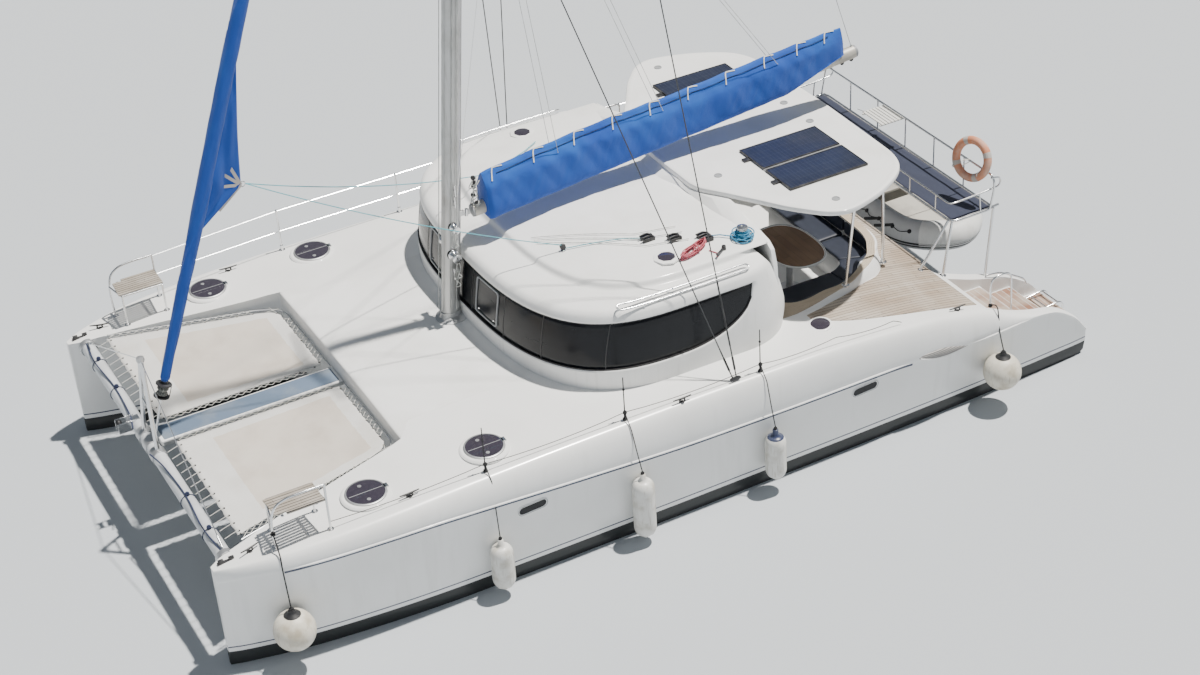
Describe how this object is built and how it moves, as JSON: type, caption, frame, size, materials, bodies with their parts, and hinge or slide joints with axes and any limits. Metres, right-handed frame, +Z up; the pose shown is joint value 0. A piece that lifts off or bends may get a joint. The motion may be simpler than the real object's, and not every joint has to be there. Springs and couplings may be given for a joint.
{
  "type": "sailing catamaran",
  "caption": "Cruising sailing catamaran with slender hulls, wraparound saloon windows, rigid cockpit roof, bow nets, covered mainsail on a swinging boom and a tender on a stern frame.",
  "frame": {"origin": "on the waterline, amidships, on the centreline", "axes": "+X towards the bow, +Y to port, +Z up"},
  "size_m": [11.58, 6.5978, 17.6924],
  "materials": {
    "gelcoat": "white gelcoat on glass fibre, softly polished",
    "antifoul": "matt black bottom paint",
    "smoked_glass": "dark tinted acrylic",
    "solar_cells": "dark blue cells under glass",
    "bronze": "cast bronze, dulled",
    "spar_alloy": "satin anodised",
    "net_cloth": "woven mesh, off-white",
    "stainless": "polished tube, weathered",
    "blue_cloth": "bright blue acrylic canvas",
    "black_fitting": "black moulded",
    "seat_vinyl": "pale vinyl",
    "tender_rubber": "grey coated fabric with dark stripes",
    "life_ring_foam": "sun-faded orange with grey bands",
    "teak_deck": "weathered teak planks with dark caulking",
    "fender_vinyl": "off-white inflated vinyl with black ends"
  },
  "bodies": {
    "boat": {"hull_port": "gelcoat", "hull_starboard": "gelcoat", "foredeck": "gelcoat", "bridgedeck": "gelcoat", "aft_crossdeck": "gelcoat", "coachroof": "gelcoat", "saloon_windows": "smoked_glass", "aft_bulkhead": "gelcoat", "saloon_settee": "seat_vinyl", "saloon_table": "teak_deck", "hardtop": "gelcoat", "solar_panel_port": "solar_cells", "solar_panel_starboard": "solar_cells", "saildrive_port": "antifoul", "saildrive_starboard": "antifoul", "crossbeam": "spar_alloy", "walkway": "gelcoat", "striker": "spar_alloy", "trampoline_port": "net_cloth", "trampoline_starboard": "net_cloth", "pulpit_port": "stainless", "pulpit_starboard": "stainless", "guard_posts_port": "stainless", "guard_posts_starboard": "stainless", "mast": "spar_alloy", "furled_headsail": "blue_cloth", "furler_drum": "black_fitting", "shrouds_port": "stainless", "shrouds_starboard": "stainless", "cockpit_seat": "gelcoat", "cockpit_table": "gelcoat", "helm_pedestal": "gelcoat", "helm_seat": "seat_vinyl", "tender_tube": "tender_rubber", "stern_frame": "stainless", "stern_platform": "blue_cloth", "tender_floor": "seat_vinyl", "life_ring": "life_ring_foam", "fender_1": "fender_vinyl", "fender_2": "fender_vinyl", "fender_3": "fender_vinyl", "fender_4": "fender_vinyl", "fender_5": "fender_vinyl"},
    "boom_and_sail": {"boom": "spar_alloy", "sail_cover": "blue_cloth"},
    "helm_wheel": {"steering_wheel": "stainless"},
    "rudder_blade_port": {"rudder_port": "antifoul"},
    "rudder_blade_starboard": {"rudder_starboard": "antifoul"},
    "screw_port": {"propeller_port": "bronze"},
    "screw_starboard": {"propeller_starboard": "bronze"},
    "sliding_door": {"saloon_door": "smoked_glass"},
    "lid_fore_port": {"hatch_lid_fore_port": "smoked_glass"},
    "lid_fore_starboard": {"hatch_lid_fore_starboard": "smoked_glass"},
    "lid_mid_port": {"hatch_lid_mid_port": "smoked_glass"},
    "lid_mid_starboard": {"hatch_lid_mid_starboard": "smoked_glass"}
  },
  "joints": [
    {"name": "boom_swing", "type": "hinge", "parent": "boat", "child": "boom_and_sail", "pos_m": [1.36, 0, 3.01], "axis": [-0.1045, 0, 0.9945], "range_deg": [-50, 50]},
    {"name": "wheel_turn", "type": "hinge", "parent": "boat", "child": "helm_wheel", "pos_m": [-1.9, -1.18, 1.78], "axis": [1, 0, 0], "range_deg": [-180, 180]},
    {"name": "rudder_port_turn", "type": "hinge", "parent": "boat", "child": "rudder_blade_port", "pos_m": [-4.7, 2.44, -0.4], "axis": [0, 0, 1], "range_deg": [-35, 35]},
    {"name": "rudder_starboard_turn", "type": "hinge", "parent": "boat", "child": "rudder_blade_starboard", "pos_m": [-4.7, -2.44, -0.4], "axis": [0, 0, 1], "range_deg": [-35, 35]},
    {"name": "propeller_port_spin", "type": "hinge", "parent": "boat", "child": "screw_port", "pos_m": [-3.35, 2.44, -0.8004], "axis": [1, 0, 0], "continuous": true},
    {"name": "propeller_starboard_spin", "type": "hinge", "parent": "boat", "child": "screw_starboard", "pos_m": [-3.35, -2.44, -0.8004], "axis": [1, 0, 0], "continuous": true},
    {"name": "door_slide", "type": "slide", "parent": "boat", "child": "sliding_door", "axis": [0, -1, 0], "range_m": [0, 0.86]},
    {"name": "hatch_fore_port_open", "type": "hinge", "parent": "boat", "child": "lid_fore_port", "pos_m": [3.672, 2.5, 1.5306], "axis": [0, -1, 0], "range_deg": [0, 80]},
    {"name": "hatch_fore_starboard_open", "type": "hinge", "parent": "boat", "child": "lid_fore_starboard", "pos_m": [3.672, -2.5, 1.5306], "axis": [0, -1, 0], "range_deg": [0, 80]},
    {"name": "hatch_mid_port_open", "type": "hinge", "parent": "boat", "child": "lid_mid_port", "pos_m": [2.232, 2.52, 1.583], "axis": [0, -1, 0], "range_deg": [0, 80]},
    {"name": "hatch_mid_starboard_open", "type": "hinge", "parent": "boat", "child": "lid_mid_starboard", "pos_m": [2.232, -2.52, 1.583], "axis": [0, -1, 0], "range_deg": [0, 80]}
  ],
  "couplings": [
    {"joint": "rudder_port_turn", "follows": "wheel_turn", "ratio": 0.19444},
    {"joint": "rudder_starboard_turn", "follows": "wheel_turn", "ratio": 0.19444}
  ]
}
